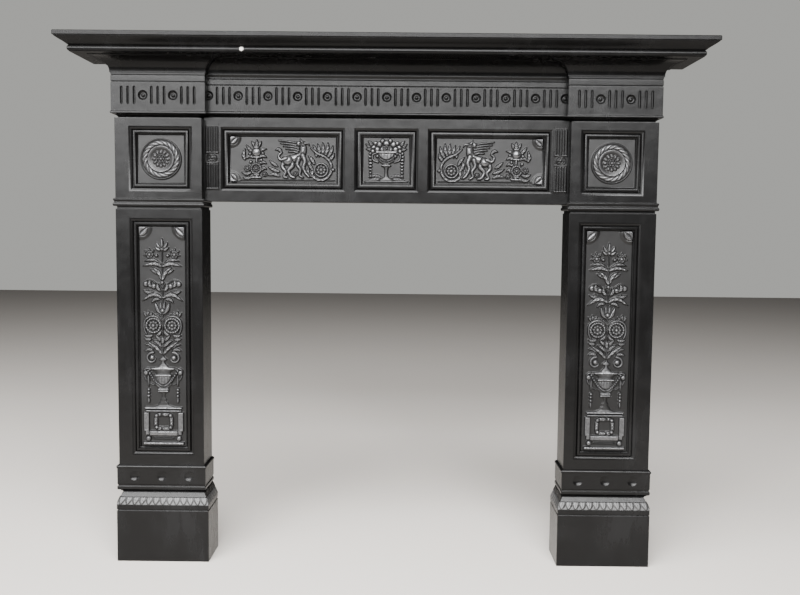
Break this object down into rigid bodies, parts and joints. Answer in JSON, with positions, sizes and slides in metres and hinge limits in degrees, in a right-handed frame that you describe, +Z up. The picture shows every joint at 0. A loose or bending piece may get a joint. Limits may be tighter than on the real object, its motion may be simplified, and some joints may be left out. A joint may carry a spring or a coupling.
{
  "type": "fireplace surround",
  "caption": "Cast-iron fireplace surround with a moulded shelf, fluted frieze, relief panels, corner paterae and square plinths.",
  "frame": {"origin": "middle of the footprint on the floor, at the centre of the bounding box's bottom", "axes": "+Z up, +X along the shelf to the right as seen from the room, -Y out into the room; the castings' backs lie in one upright wall plane at the +Y side"},
  "size_m": [1.6534, 0.216, 1.3806],
  "materials": {
    "black_leaded_iron": "black-leaded or satin black painted casting, bright on its edges"
  },
  "bodies": {
    "root": {"shelf": "black_leaded_iron", "header": "black_leaded_iron", "jamb_left": "black_leaded_iron", "jamb_right": "black_leaded_iron"}
  },
  "joints": []
}
